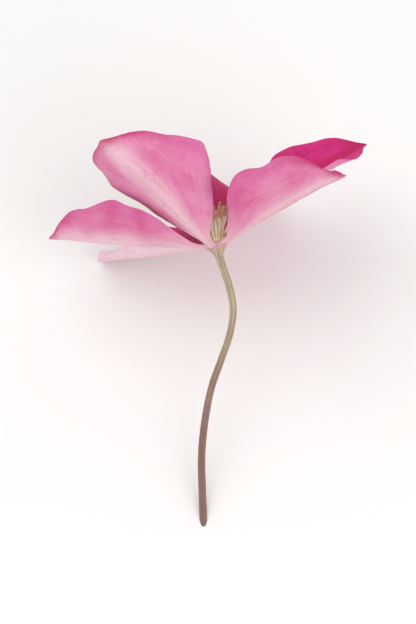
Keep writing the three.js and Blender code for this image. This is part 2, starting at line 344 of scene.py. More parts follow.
def make_piece(name, points, faces, materials, slot, face_materials=None, uvs=None):
    """A smooth-shaded mesh object from points in millimetres. uvs holds the values of each map by point."""
    mesh = bpy.data.meshes.new(name)
    mesh.from_pydata((np.asarray(points) * MM).tolist(), [], faces)
    for material in materials:
        mesh.materials.append(material)
    mesh.polygons.foreach_set("use_smooth", [True] * len(mesh.polygons))
    if face_materials is not None:
        mesh.polygons.foreach_set("material_index", face_materials)
    corners = np.empty(len(mesh.loops), np.int32)
    mesh.loops.foreach_get("vertex_index", corners)
    for uv_name, values in (uvs or {}).items():
        layer = mesh.uv_layers.new(name=uv_name)
        layer.data.foreach_set("uv", np.asarray(values, np.float32)[corners].ravel())
    mesh.update()
    piece = new_object(name, mesh)
    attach(piece, "root")
    return piece


def ring_faces(rings, sides, start=0):
    """Faces of a tube whose points come ring by ring."""
    ring, side = np.meshgrid(np.arange(rings - 1), np.arange(sides), indexing="ij")
    a = start + ring * sides + side
    b = start + ring * sides + (side + 1) % sides
    return np.stack([a, b, b + sides, a + sides], -1).reshape(-1, 4).tolist()


class Bundle:
    """Gathers closed tubes into one mesh, with a map of the share along each and the share round it."""

    def __init__(self):
        self.points = []
        self.faces = []
        self.values = []
        self.count = 0

    def add(self, rings, shares):
        """rings is an array of rings by sides by 3, and shares the share along the tube by ring."""
        ring_count, sides = rings.shape[:2]
        self.faces += ring_faces(ring_count, sides, self.count)
        last = self.count + (ring_count - 1) * sides
        self.faces.append([self.count + k for k in reversed(range(sides))])
        self.faces.append([last + k for k in range(sides)])
        self.points.append(rings.reshape(-1, 3))
        self.values.append(grid(shares[:, None], full_turn(sides) / TURN).reshape(-1, 2))
        self.count += ring_count * sides

    def add_base(self, rings):
        """Adds a body that carries the others and takes the tone that they have near their feet."""
        self.add(rings, np.full(len(rings), BASE_TONE))
        self.values[-1][:, 1] = BASE_TONE

    def make(self, name, materials, slot):
        points, values = np.concatenate(self.points), np.concatenate(self.values)
        return make_piece(name, points, self.faces, materials, slot, uvs={"Along": values})


def path_frames(path, start):
    """Two unit vectors across a path at each of its points, carried along it without twist."""
    along = unit(np.gradient(path, axis=0))
    side = np.empty_like(path)
    carried = np.asarray(start, float)
    for i, heading in enumerate(along):
        carried = carried - heading * carried.dot(heading)
        carried /= np.linalg.norm(carried)
        side[i] = carried
    return side, np.cross(along, side)


def tube(path, start, wide, thick, sides, outline=None, twist=0.0):
    """Rings round a path: wide and thick are half sizes by ring, and outline scales them by angle."""
    side, other = path_frames(path, start)
    angles = full_turn(sides)
    turning = twist * np.linspace(0, 1, len(path))
    u = np.cos(angles)[None, :] * wide[:, None]
    v = np.sin(angles)[None, :] * thick[:, None]
    if outline is not None:
        scale = outline(angles)
        u, v = u * scale, v * scale
    c, s = np.cos(turning)[:, None], np.sin(turning)[:, None]
    u, v = u * c - v * s, u * s + v * c
    return path[:, None, :] + u[..., None] * side[:, None, :] + v[..., None] * other[:, None, :]


def revolved(profile, angles, scale=1):
    """Rings round the bloom's axis, from radii and heights. scale widens them, by ring and by angle."""
    radius, height = profile[:, :1] * scale, profile[:, 1:]
    return grid(radius * np.cos(angles), radius * np.sin(angles), height)


def strands(hairs, radius, sag):
    """Points and faces of fine hairs, from the root, heading and length of each. They end in a point."""
    roots, headings, lengths = (np.array(values) for values in zip(*hairs))
    headings, lengths = unit(headings), lengths[:, None]
    helper = np.where(np.abs(headings[:, 2:3]) < 0.8, [[0.0, 0, 1]], [[1.0, 0, 0]])
    side = unit(np.cross(headings, helper))
    other = np.cross(headings, side)
    points = []
    for share, thin in HAIR_RINGS:
        centre = roots + headings * lengths * share + np.array([0, 0, -sag]) * lengths * share**2
        for k in range(3 if thin else 1):
            a = TURN * k / 3
            points.append(centre + radius * thin * (math.cos(a) * side + math.sin(a) * other))
    faces = []
    for b in range(0, len(points) * len(roots), len(points)):
        for k in range(3):
            j = (k + 1) % 3
            faces.append([b + k, b + j, b + 3 + j, b + 3 + k])
            faces.append([b + 3 + k, b + 3 + j, b + 6])
        faces.append([b + 2, b + 1, b])
    return np.stack(points, 1).reshape(-1, 3), faces


# Materials


def srgb(red, green, blue):
    """A colour for a node, from its values on a screen of 0 to 255."""
    channels = [c / 255 for c in (red, green, blue)]
    return tuple(c / 12.92 if c <= 0.04045 else ((c + 0.055) / 1.055) ** 2.4 for c in channels) + (1.0,)


class Look:
    """Builds the nodes of one material."""

    def __init__(self, name, **shader_values):
        self.material = bpy.data.materials.new(name)
        self.material.use_nodes = True
        self.tree = self.material.node_tree
        self.shader = self.tree.nodes["Principled BSDF"]
        for socket, value in shader_values.items():
            self.shader.inputs[socket.replace("_", " ")].default_value = value

    def node(self, kind, inputs=(), **settings):
        made = self.tree.nodes.new(kind)
        for key, value in settings.items():
            setattr(made, key, value)
        for key, value in dict(inputs).items():
            if isinstance(value, bpy.types.NodeSocket):
                self.tree.links.new(value, made.inputs[key])
            else:
                made.inputs[key].default_value = value
        return made

    def math(self, operation, a, b=0):
        return self.node("ShaderNodeMath", {0: a, 1: b}, operation=operation).outputs[0]

    def add(self, a, b):
        return self.math("ADD", a, b)

    def times(self, a, b):
        return self.math("MULTIPLY", a, b)

    def line(self, value, slope, start):
        return self.add(self.times(value, slope), start)

    def swing(self, pattern, amount):
        """A pattern of 0 to 1, made to swing about 0 by half the amount."""
        return self.times(self.add(pattern, -0.5), amount)

    def away(self, value, centre=0):
        """How far a value is from a centre."""
        return self.math("ABSOLUTE", self.add(value, -centre))

    def smooth(self, value, low, high, to_low=0, to_high=1):
        """Goes smoothly from to_low, at low, to to_high, at high."""
        inputs = {"Value": value, "From Min": low, "From Max": high, "To Min": to_low, "To Max": to_high}
        return self.node("ShaderNodeMapRange", inputs, interpolation_type="SMOOTHSTEP").outputs[0]

    def fall(self, value, low, high):
        return self.smooth(value, low, high, 1, 0)

    def mix(self, factor, a, b):
        """Goes from colour a to colour b. Colours are nodes' own, or values on a screen."""
        a, b = (srgb(*colour) if isinstance(colour, tuple) else colour for colour in (a, b))
        return self.node("ShaderNodeMix", {0: factor, 6: a, 7: b}, data_type="RGBA").outputs[2]

    def layers(self, colour, *coats):
        """Lays coats over a colour in turn, each by its tone, a mask and the amount of the mask."""
        for tone, mask, amount in coats:
            colour = self.mix(self.times(mask, amount), colour, tone)
        return colour

    def weighed(self, *parts):
        """The sum of patterns, each by its weight."""
        total = self.times(*parts[0])
        for pattern, weight in parts[1:]:
            total = self.add(total, self.times(pattern, weight))
        return total

    def uv(self, name):
        made = self.node("ShaderNodeUVMap", uv_map=name)
        parts = self.node("ShaderNodeSeparateXYZ", {0: made.outputs[0]})
        return parts.outputs[0], parts.outputs[1]

    def vector(self, x, y, z=0):
        return self.node("ShaderNodeCombineXYZ", {0: x, 1: y, 2: z}).outputs[0]

    def place(self):
        return self.node("ShaderNodeTexCoord").outputs["Object"]

    def noise(self, vector, scale, detail=2, roughness=0.5):
        inputs = {"Vector": vector, "Scale": scale, "Detail": detail, "Roughness": roughness}
        return self.node("ShaderNodeTexNoise", inputs).outputs["Fac"]

    def cell_edges(self, vector, scale, randomness=0.9):
        inputs = {"Vector": vector, "Scale": scale, "Randomness": randomness}
        return self.node("ShaderNodeTexVoronoi", inputs, feature="DISTANCE_TO_EDGE").outputs["Distance"]

    def finish(self, colour, roughness=None, height=None, distance=0.0002, strength=1):
        self.tree.links.new(colour, self.shader.inputs["Base Color"])
        if roughness is not None:
            self.tree.links.new(roughness, self.shader.inputs["Roughness"])
        if height is not None:
            bump = self.node("ShaderNodeBump", {"Height": height, "Distance": distance, "Strength": strength})
            self.tree.links.new(bump.outputs[0], self.shader.inputs["Normal"])
        return self.material


def sepal_pattern(look):
    """The parts of a sepal's pattern that both faces share, from its maps."""
    s, t = look.uv("Blade")
    length, width = look.uv("Flat")
    pale, crimson_and_shade_reach = look.uv("Own")
    across = look.away(look.times(t, 2), 1)
    flat = look.vector(length, width)
    wobble = look.noise(flat, 16)
    # The net of veins is drawn in stretched and warped coordinates, so that its meshes are long and curved.
    shift = look.noise(look.vector(width, length, 2), 34)
    bent_width = look.add(width, look.swing(look.noise(flat, 34), 0.026))
    bent_length = look.add(look.times(length, 0.24), look.swing(shift, 0.009))
    net = look.cell_edges(look.vector(bent_length, bent_width), 52)
    small_length = look.add(look.times(length, 0.45), look.swing(shift, 0.005))
    small = look.cell_edges(look.vector(small_length, bent_width, 3), 150)
    faint = look.smooth(look.noise(flat, 22), 0.36, 0.66)
    # Streaks and threads run the whole length and draw together at the foot and the tip, as the veins do.
    streaks = look.noise(look.vector(look.times(s, 2.2), look.times(t, 34)), 1.6, 5, 0.62)
    threads = look.noise(look.vector(look.times(s, 3), look.times(t, 110)), 1.5, 3, 0.6)
    side_ribs = look.fall(look.away(across, RIB_SPREAD), 0, 0.04)
    midrib = look.fall(across, 0, 0.035)
    outer_veins = look.smooth(look.away(across, OUTER_VEIN), 0, 0.025, 0.6, 0)
    outer_veins = look.times(outer_veins, look.fall(s, 0.3, 0.7))
    ribs = look.math("MAXIMUM", look.math("MAXIMUM", side_ribs, midrib), outer_veins)
    return SimpleNamespace(
        s=s, across=across, pale=pale, crimson_and_shade_reach=crimson_and_shade_reach, flat=flat, wobble=wobble, streaks=streaks, threads=threads,
        patches=look.noise(look.vector(look.times(length, 0.7), width), 13, 4, 0.6),
        veins=look.times(look.fall(net, 0, 0.075), faint),
        fine=look.fall(small, 0, 0.1),
        ribs=look.times(ribs, look.smooth(s, 0.4, 1, 1, 0.1)),
    )


def outer_look():
    look = Look(
        "sepal outer face", Roughness=0.5, IOR=1.4, Subsurface_Weight=0.22,
        Subsurface_Radius=(1, 0.35, 0.45), Subsurface_Scale=0.0011,
        Sheen_Weight=0.25, Sheen_Roughness=0.45, Sheen_Tint=srgb(255, 214, 230),
    )
    p = sepal_pattern(look)
    rim = look.smooth(look.add(p.across, look.swing(p.wobble, 0.3)), 0.6, 1.04)
    rim = look.times(rim, look.line(p.pale, -0.55, 0.6))
    # A pale band runs along the midrib, widest below the middle, with streaky edges.
    inward = look.times(p.across, look.smooth(p.s, 0.55, 0.95, 1, 0.62))
    edge = look.add(inward, look.swing(p.streaks, 0.42))
    band = look.fall(edge, look.line(p.pale, 0.5, 0.06), look.line(p.pale, 0.9, 0.44))
    band = look.times(band, look.smooth(p.s, 0.7, 1, 1, 0.85))
    # Paler and deeper patches: partly the sepal's own uneven tone, partly painted light and shade.
    paler, deeper = look.uv("WashAndPaintedLight")
    point = look.smooth(look.add(p.s, look.swing(p.patches, 0.06)), 0.9, 1)
    specks = look.smooth(look.noise(p.flat, 210, 1), 0.74, 0.79)
    specks = look.times(specks, look.smooth(p.wobble, 0.4, 0.6))
    colour = look.layers(
        look.mix(look.smooth(p.patches, 0.3, 0.7), (213, 94, 150), (224, 134, 178)),
        ((228, 152, 190), look.smooth(p.streaks, 0.35, 0.7), 0.45),
        ((200, 78, 138), look.smooth(p.threads, 0.5, 0.7), 0.25),
        ((206, 102, 160), rim, 1),
        ((190, 54, 108), look.times(look.smooth(p.s, 0.62, 1), rim), 1.9),
        ((237, 204, 215), band, look.line(p.pale, 0.16, 0.8)),
        ((246, 222, 230), paler, look.smooth(p.streaks, 0.2, 0.8, 0.7, 1.3)),
        ((196, 50, 120), deeper, look.smooth(p.streaks, 0.2, 0.8, 1.3, 0.7)),
        ((186, 52, 98), point, look.line(p.pale, -0.5, 0.8)),
        ((234, 204, 204), look.fall(p.s, 0, 0.32), 0.6),
        ((204, 70, 130), p.veins, 0.3),
        ((208, 84, 140), p.fine, 0.1),
        ((222, 178, 160), p.ribs, 0.42),
        ((160, 78, 92), specks, 0.6),
    )
    papery = look.noise(look.place(), 2600)
    height = look.weighed((p.veins, 0.7), (p.fine, 0.25), (p.threads, 0.5), (papery, 0.4))
    roughness = look.smooth(p.patches, 0.2, 0.8, 0.42, 0.56)
    return look.finish(colour, roughness, height, distance=0.0001, strength=0.7)


def inner_look():
    look = Look(
        "sepal inner face", Roughness=0.6, IOR=1.38, Specular_IOR_Level=0.2, Subsurface_Weight=0.18,
        Subsurface_Radius=(1, 0.25, 0.4), Subsurface_Scale=0.001,
        Sheen_Weight=0.04, Sheen_Roughness=0.4, Sheen_Tint=srgb(255, 150, 200),
    )
    p = sepal_pattern(look)
    pollen = look.smooth(look.noise(p.flat, 520, 1), 0.73, 0.77)
    pollen = look.times(pollen, look.fall(look.add(p.s, look.times(p.wobble, 0.2)), 0.15, 0.42))
    # The crimson of the foot is the inner face's own colour and reaches further up in some sepals; on the
    # back sepal, which lies in the shade of the cup, its reach is also painted shade. It runs on as a bar
    # along the midrib.
    colour = look.layers(
        look.mix(look.smooth(p.patches, 0.3, 0.7), (202, 36, 115), (216, 54, 136)),
        ((224, 66, 146), look.smooth(p.streaks, 0.4, 0.7), 0.35),
        ((141, 0, 58), look.fall(p.s, 0.4, look.line(p.crimson_and_shade_reach, 0.4, 0.76)), 0.88),
        ((184, 16, 70), look.fall(look.add(p.across, look.swing(p.streaks, 0.44)), 0.08, 0.42), 0.55),
        ((218, 74, 146), look.smooth(p.across, 0.75, 1), 0.35),
        ((168, 26, 72), look.smooth(p.s, 0.8, 1), 0.6),
        ((146, 12, 70), p.veins, 0.4),
        ((156, 16, 80), p.fine, 0.16),
        ((150, 14, 62), p.ribs, 0.3),
        ((224, 158, 166), look.fall(look.add(p.s, look.swing(p.streaks, 0.1)), 0, 0.1), 0.75),
        ((232, 206, 160), pollen, 0.75),
    )
    velvet = look.noise(look.place(), 4200, 1)
    furrows = look.math("MAXIMUM", p.veins, look.times(p.fine, 0.5))
    height = look.weighed((furrows, -0.45), (p.threads, 0.45), (velvet, 0.6))
    roughness = look.smooth(p.patches, 0.2, 0.8, 0.52, 0.66)
    return look.finish(colour, roughness, height, distance=0.0001, strength=0.8)


def stamen_look():
    look = Look("stamens", Roughness=0.6, Subsurface_Weight=0.1, Subsurface_Scale=0.0006)
    share, turn = look.uv("Along")
    speckle = look.noise(look.place(), 6500, 3, 0.6)
    blotch = look.noise(look.place(), 700, 3, 0.6)
    filament = look.mix(look.smooth(share, 0, 0.5), (222, 208, 166), (242, 230, 208))
    angle = look.times(turn, TURN)
    # Seams run down the flanks of an anther, and furrows down its front and back.
    anther = look.layers(
        look.mix(look.smooth(speckle, 0.3, 0.7), (204, 150, 128), (226, 184, 156)),
        ((176, 116, 104), look.smooth(blotch, 0.35, 0.7), 0.55),
        ((238, 218, 168), look.fall(look.away(look.math("SINE", angle)), 0, 0.34), 0.7),
        ((156, 96, 90), look.fall(look.away(look.math("COSINE", angle)), 0, 0.3), 0.6),
    )
    colour = look.mix(look.smooth(share, ANTHER_START - 0.01, ANTHER_START + 0.03), filament, anther)
    colour = look.mix(look.smooth(share, 0.95, 1), colour, (120, 62, 60))
    roughness = look.smooth(speckle, 0.2, 0.8, 0.55, 0.8)
    return look.finish(colour, roughness, speckle, distance=0.00006, strength=0.6)


def pistil_look():
    look = Look(
        "pistils", Roughness=0.5, Sheen_Weight=0.4, Sheen_Roughness=0.4,
        Subsurface_Weight=0.15, Subsurface_Scale=0.0006,
    )
    share, turn = look.uv("Along")
    grain = look.noise(look.place(), 2400)
    colour = look.mix(look.smooth(share, 0, 0.9), (196, 204, 130), (240, 238, 202))
    colour = look.layers(colour, ((206, 190, 130), look.smooth(grain, 0.45, 0.75), 0.3))
    return look.finish(colour, look.smooth(turn, 0, 1, 0.45, 0.55), grain, distance=0.00005, strength=0.4)


def stalk_look():
    look = Look(
        "stalk", Roughness=0.55, Sheen_Weight=0.3, Sheen_Roughness=0.5,
        Subsurface_Weight=0.06, Subsurface_Scale=0.0008,
    )
    share, turn = look.uv("Along")
    stripes = look.noise(look.vector(look.times(share, 5), look.times(turn, 14)), 1.5, 4, 0.6)
    blotches = look.noise(look.place(), 160, 4, 0.6)
    furrow = look.math("COSINE", look.times(turn, STALK_RIBS * TURN))
    furrow = look.smooth(look.add(look.times(furrow, -1), look.swing(stripes, 1.6)), 0.2, 1.3)
    low = look.smooth(look.add(share, look.swing(blotches, 0.35)), 0.12, 0.72)
    # The receptacle, whose share along is below 0, is flushed with the sepals' pink.
    colour = look.layers(
        look.mix(low, (184, 170, 138), (128, 96, 84)),
        ((104, 66, 62), look.smooth(stripes, 0.42, 0.62), 0.4),
        ((112, 66, 70), furrow, 0.45),
        ((150, 150, 92), look.smooth(blotches, 0.55, 0.75), 0.35),
        ((206, 152, 150), look.fall(share, -0.19, -0.03), look.smooth(blotches, 0.25, 0.7, 0.35, 0.8)),
    )
    grain = look.noise(look.place(), 2200, 3)
    height = look.weighed((stripes, 0.8), (grain, 0.4))
    roughness = look.smooth(blotches, 0.2, 0.8, 0.48, 0.64)
    return look.finish(colour, roughness, height, distance=0.00012, strength=0.6)


def cut_look():
    look = Look("stalk cut", Roughness=0.7)
    pores = look.noise(look.place(), 2600, 3)
    colour = look.mix(look.smooth(pores, 0.35, 0.65), (196, 190, 140), (222, 216, 176))
    return look.finish(colour, height=pores, distance=0.00008, strength=0.6)


def hair_look():
    look = Look("hairs", Roughness=0.4, Subsurface_Weight=0.1, Subsurface_Scale=0.0003)
    patches = look.noise(look.place(), 300)
    return look.finish(look.mix(look.smooth(patches, 0.3, 0.7), (226, 214, 190), (244, 238, 226)))


def floor_look():
    look = Look("floor", Roughness=0.75)
    patches = look.noise(look.place(), 3, 3)
    return look.finish(look.mix(look.smooth(patches, 0.3, 0.7), (240, 239, 237), (243, 242, 240)))


# Sepals


def half_width(width, s):
    """Half the width of a sepal at share s: narrow foot, broad shoulders, pointed tip."""
    peak = SHOULDER_RISE / (SHOULDER_RISE + TIP_FALL)
    u = (np.clip(s, 0, 1) - FOOT_SHARE) / (1 - FOOT_SHARE)
    u = np.clip((u + np.sqrt(u**2 + FOOT_SOFTNESS**2)) / 2, 0, 1)
    outline = (u / peak) ** SHOULDER_RISE * ((1 - u) / (1 - peak)) ** TIP_FALL
    outline = outline * (1 - POINT_DRAW * bell(s, POINT_PLACE, POINT_SPREAD))
    return (CLAW_WIDTH * (1 - np.clip(s, 0, 1)) ** 3 + width * outline) / 2


def midrib_of(sepal):
    """Even points of the midrib in the laid frame, with the directions along it, across it and inwards."""
    s = np.linspace(0, 1, PATH_STEPS + 1)
    heading = sepal["azimuth"] + sepal["sweep"] * s
    lift = sepal["lift"] + sepal["arch"] * s - sepal["recurve"] * smooth(s, 0.6, 1)
    along = direction(heading, lift)
    across = turned_about(direction(heading + 90, 0 * s), along, np.radians(sepal["roll"]) * smooth(s, 0, 1))
    along, across = along @ BLOOM_TO_LAID.T, across @ BLOOM_TO_LAID.T
    start = from_bloom(direction(sepal["azimuth"], 0) * CLAW_RADIUS)
    steps = along[:-1] * sepal["length"] / PATH_STEPS
    at = np.vstack([start, start + np.cumsum(steps, 0)])
    return at, along, across, np.cross(along, across)


def pressed(height, rest):
    """The height at which a blade ends up when the table holds up what would sink into it."""
    over = height - rest
    bent = rest + (over + PRESS_SOFTNESS) ** 2 / (4 * PRESS_SOFTNESS)
    return np.where(over >= PRESS_SOFTNESS, height, np.where(over <= -PRESS_SOFTNESS, rest, bent))


def margin_ripple(waves, s, t, seed):
    """Uneven waves along both margins, each with its own draw."""
    low, high = (ripple(s * waves["rate"], seed + own) for own in waves["seeds"])
    return waves["height"] * np.where(t < 0, low, high)


def blade_points(sepal, s, t, seed):
    """The middle surface of a sepal at a grid of places s and t."""
    place = np.clip(s, 0, 1) * PATH_STEPS
    knots = np.arange(PATH_STEPS + 1)
    at, along, across, inward = (between(place, knots, values) for values in midrib_of(sepal))
    at = at + along * (np.minimum(s, 0) * sepal["length"])[:, None]
    s, t = s[:, None], t[None, :]
    fold = np.radians(sepal["keel"]) * smooth(s, 0, 0.3)
    curl = np.radians(sepal["cup"]) * (1 - 0.4 * smooth(s, 0.7, 1))
    flare_side, flare = sepal.get("flare", (0, 0))
    curl = curl - np.radians(flare) * smooth(s, 0.3, 0.8) * (np.sign(t) == flare_side)
    end = fold + curl * np.abs(t)
    sideways = (np.sin(end) - np.sin(fold)) / curl
    rise = (np.cos(fold) - np.cos(end)) / curl
    half = half_width(sepal["width"], s)
    for side, place, amount, spread in sepal["swells"]:
        half = half * (1 + amount * bell(s, place, spread) * (np.sign(t) == side))
    margin = smooth(s, 0.15, 0.45) * smooth(1 - s, 0, TIP_CALM) * np.abs(t) ** 3
    wave = WAVE_HEIGHT * margin * np.sin(TURN * (WAVES * s + sepal["phase"] + 0.15 * t))
    # Finer than the part: a crimped margin, shallow puckers between the veins and a slightly uneven outline.
    crimp = margin * smooth(s, 0.2, 0.5) * margin_ripple(CRIMP, s, t, seed)
    puckers = sum(
        height * field(s * sepal["length"] / length, t * half / breadth, seed + own)
        for height, length, breadth, own in PUCKERS
    )
    puckers = puckers * smooth(s, 0.04, 0.2) * smooth(1 - s, 0, 0.08)
    uneven = 1 + margin_ripple(UNEVEN_EDGE, s, t, seed) * smooth(s, 0.15, 0.3)
    points = (
        at[:, None, :]
        + across[:, None, :] * (np.sign(t) * half * sideways * uneven)[..., None]
        + inward[:, None, :] * (half * rise + wave + crimp + puckers)[..., None]
    )
    points[..., 2] = pressed(points[..., 2], BLADE_HALF)
    return points


def grid_normals(points):
    """Unit normals of a grid of points, towards the inner face of a sepal."""
    lengthwise = np.gradient(points, axis=0)
    crosswise = np.gradient(points, axis=1)
    return unit(np.cross(lengthwise, crosswise))


def wash_and_painted_light_map(sepal, blade_map):
    """How much paler, and how much deeper, each point of a sepal is: partly its own uneven tone, partly
    painted light and shade.
    """
    s, t = blade_map[:, 0], 2 * blade_map[:, 1] - 1
    wash = sum(
        amount * bell(s, place_s, spread_s) * bell(t, place_t, spread_t)
        for place_s, place_t, spread_s, spread_t, amount in sepal["washes_and_painted_light"]
    )
    return np.stack([wash, -wash], -1)


def blade_faces(rows, sides, outer_sides):
    """Faces of a blade with a pointed tip and a closed foot. The first material is for the outer face."""
    faces = ring_faces(rows, sides)
    last, tip = (rows - 1) * sides, rows * sides
    faces += [[last + k, last + (k + 1) % sides, tip] for k in range(sides)]
    faces.append(list(reversed(range(sides))))
    round_blade = [0 if k < outer_sides else 1 for k in range(sides)]
    return faces, round_blade * rows + [0]


def make_sepal(name, sepal, seed, materials):
    """A sepal's blade. Its outer face is returned too, as a grid of points with normals and places t."""
    # Columns lie close together over the ribs and at the rounded margins.
    ribbed, plain = np.linspace(0, 0.26, 25), np.linspace(0.285, 0.91, 25)
    edge = np.concatenate([ribbed, plain, 1 - 0.07 * np.linspace(1, 0, 8) ** 2])
    t = np.concatenate([-edge[:0:-1], edge])
    s = np.concatenate([[-ROOT_LENGTH / sepal["length"]], np.linspace(0, 1, BLADE_ROWS) ** 0.92])
    s[-1] = TIP_END
    points = blade_points(sepal, s, t, seed)
    normals = grid_normals(points)
    thickness = CLAW_HALF + (BLADE_HALF - CLAW_HALF) * smooth(s, 0, 0.16)
    half = thickness[:, None] * np.sqrt(1 - np.abs(t[None, :]) ** MARGIN_ROUNDING)
    width = half_width(sepal["width"], s)[:, None]
    clearance = smooth(points[..., 2] - BLADE_HALF, 0, 2 * RIB_HEIGHT)
    fade = (1 - smooth(s, 0.55, 0.97))[:, None] * smooth(s, 0.0, 0.08)[:, None]
    ribs = sum(size * bell((t[None, :] - place) * width, 0, RIB_BREADTH) for place, size in RIBS)
    outer = points - normals * (half + RIB_HEIGHT * ribs * fade * clearance)[..., None]
    inner = points + normals * (half - GROOVE_DEPTH * ribs * fade)[..., None]
    # Both faces share the points of the two margins.
    rings = np.concatenate([outer, inner[:, -2:0:-1]], axis=1)
    ring_t = np.concatenate([t, t[-2:0:-1]])[None, :]
    tip = rings[-1].mean(0)
    faces, face_materials = blade_faces(len(s), ring_t.size, len(t) - 1)
    blade_map = np.vstack([grid(s[:, None], (ring_t + 1) / 2).reshape(-1, 2), [1, 0.5]])
    flat_map = grid(s[:, None] * sepal["length"], ring_t * width).reshape(-1, 2) / PATTERN_SPAN
    flat_map = flat_map + [0, 0.5] + seed * PATTERN_SHIFT
    maps = {
        "Blade": blade_map,
        "Flat": np.vstack([flat_map, flat_map[-1]]),
        "WashAndPaintedLight": wash_and_painted_light_map(sepal, blade_map),
        "Own": np.tile([sepal["pale"], sepal["crimson_and_shade_reach"]], (len(blade_map), 1)),
    }
    all_points = np.vstack([rings.reshape(-1, 3), tip])
    piece = make_piece(name + "_blade", all_points, faces, materials, "sepals", face_materials, maps)
    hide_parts(name)
    return outer, normals, t


def make_down(surfaces, material):
    """Short silky hairs along the sepals' margins and ribs, on their outer faces."""
    random = np.random.default_rng(17)
    hairs = []
    for outer, normals, t in surfaces:
        rows = len(outer)
        ribs = [int(np.abs(t - place).argmin()) for place, _ in RIBS]
        for number in range(DOWN_HAIRS):
            on_margin = number < MARGIN_HAIRS
            if on_margin:
                row = random.integers(int(0.1 * rows), rows - 3)
            else:
                row = int(rows * random.beta(1.1, 2.2) * 0.9)
            side = int(random.choice((-1, 1)))
            if on_margin:
                column = 0 if side < 0 else len(t) - 1
            else:
                column = int(random.choice(ribs) + random.integers(-3, 4))
            step = outer[row + 1, column] - outer[row, column]
            root = outer[row, column] + step * random.random()
            if root[2] < DOWN_CLEARANCE:
                continue
            away = -normals[row, column]
            forward = unit(step)
            beyond = unit(np.cross(forward, away)) * -side if on_margin else random.normal(0, 0.3, 3)
            heading = away * 0.7 + beyond + forward * random.uniform(0.2, 0.9) + random.normal(0, 0.15, 3)
            hairs.append((root - away * 0.02, heading, random.uniform(0.16, 0.38)))
    make_piece("sepal_down", *strands(hairs, **DOWN_HAIR), [material], "sepals")


# Stamens and pistils


def stamen_halves(sizes, share, anther):
    """Half the width or thickness of a stamen along its length."""
    root, top, end, middle = sizes
    filament = root + (top - root) * smooth(share, 0, ANTHER_START)
    halves = np.where(share > ANTHER_START, end + (middle - end) * anther, filament)
    halves[-1] = STAMEN_TIP
    return halves


def make_stamens(material):
    draw = SameDraws(7)
    bundle = Bundle()
    # Rings lie close together at both ends of an anther, which are rounded.
    along = 0.5 - 0.5 * np.cos(np.linspace(0, math.pi, 21))
    share = np.concatenate([np.linspace(0, ANTHER_START, 9), ANTHER_START + (1 - ANTHER_START) * along[1:]])
    on_anther = np.clip((share - ANTHER_START) / (1 - ANTHER_START), 0, 1)
    anther = np.clip(1 - np.abs(2 * on_anther - 1) ** 3.2, 0, 1) ** 0.5
    wide = stamen_halves(STAMEN_WIDE, share, anther)
    thick = stamen_halves(STAMEN_THICK, share, anther)
    lobed = smooth(on_anther, 0.0, 0.12)[:, None]

    def sacs(angles):
        """Two pairs of pollen sacs: a seam runs down each flank, and a furrow down the front and the back."""
        return 1 - lobed * (SEAM_DEPTH * np.cos(angles) ** 12 + FURROW_DEPTH * np.sin(angles) ** 6)

    for number, whorl in enumerate(WHORLS):
        for i in range(whorl["count"]):
            azimuth = 360 / whorl["count"] * (i + 0.5 * number + 0.3 * (draw() - 0.5))
            tilt = whorl["lift"] + 8 * (draw() - 0.5)
            reach = whorl["length"] * (0.92 + 0.16 * draw())
            radius, height = whorl["root"]
            foot = direction(azimuth, 0) * radius + [0, 0, height]
            path = foot + direction(azimuth, tilt + 14 * (0.5 - share)) * (reach * share)[:, None]
            sway = 0.22 * np.sin(share * math.pi * 1.5 + i) * smooth(share, 0.1, 0.6)
            beside = direction(azimuth + 90, 0)
            path = path + beside * sway[:, None]
            rings = tube(path, beside, wide, thick, STAMEN_SIDES, sacs, twist=0.5 * math.sin(3.1 * i))
            bundle.add(from_bloom(rings), share)
    # The dome that carries them sits on the receptacle. The outer filaments run down its flank as low ribs.
    outer_count = WHORLS[0]["count"]
    angles = full_turn(8 * outer_count)
    ribs = DOME_RIB * np.cos(outer_count * angles) * smooth(DOME_PROFILE[:, 1:], 0.5, 1.2)
    bundle.add_base(from_bloom(revolved(DOME_PROFILE, angles, 1 + ribs)))
    piece = bundle.make("stamen_boss", [material], "stamens")
    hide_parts("stamens")


def make_pistils(material, silk_material):
    draw = SameDraws(23)
    random = np.random.default_rng(5)
    bundle = Bundle()
    silk = []
    share = np.linspace(0, 1, 12)
    thick = np.interp(share, *STYLE_RADIUS)
    for i in range(STYLES):
        azimuth = i * GOLDEN_ANGLE
        outward = math.sqrt((i + 0.5) / STYLES)
        lift = 88 - 9 * outward - 4 * draw()
        length = STYLE_LENGTH * (0.8 + 0.25 * draw()) * (1 - 0.12 * outward)
        foot = direction(azimuth, 0) * 0.75 * outward + [0, 0, STYLE_ROOT]
        headings = direction(azimuth + 20 * share, lift - 8 * share**2 * outward)
        path = foot + headings * (length * share)[:, None]
        rings = tube(path, direction(azimuth + 90, 0), thick, thick * 0.85, STYLE_SIDES)
        bundle.add(from_bloom(rings), share)
        for _ in range(SILK_HAIRS):
            where = random.uniform(0.05, 0.72)
            away = direction(random.uniform(0, 360), 0)
            root = between(where, share, path) + away * 0.2
            heading = unit(away + np.array([0, 0, random.uniform(1.4, 2.6)]))
            silk.append((root, heading, random.uniform(0.7, 1.3)))
    bundle.add_base(from_bloom(revolved(TUFT_PROFILE, full_turn(TUFT_SIDES))))
    piece = bundle.make("style_tuft", [material], "pistils")
    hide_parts("pistils")
    points, faces = strands(silk, **SILK_HAIR)
    make_piece("style_silk", from_bloom(points), faces, [silk_material], "pistils")


# Stalk


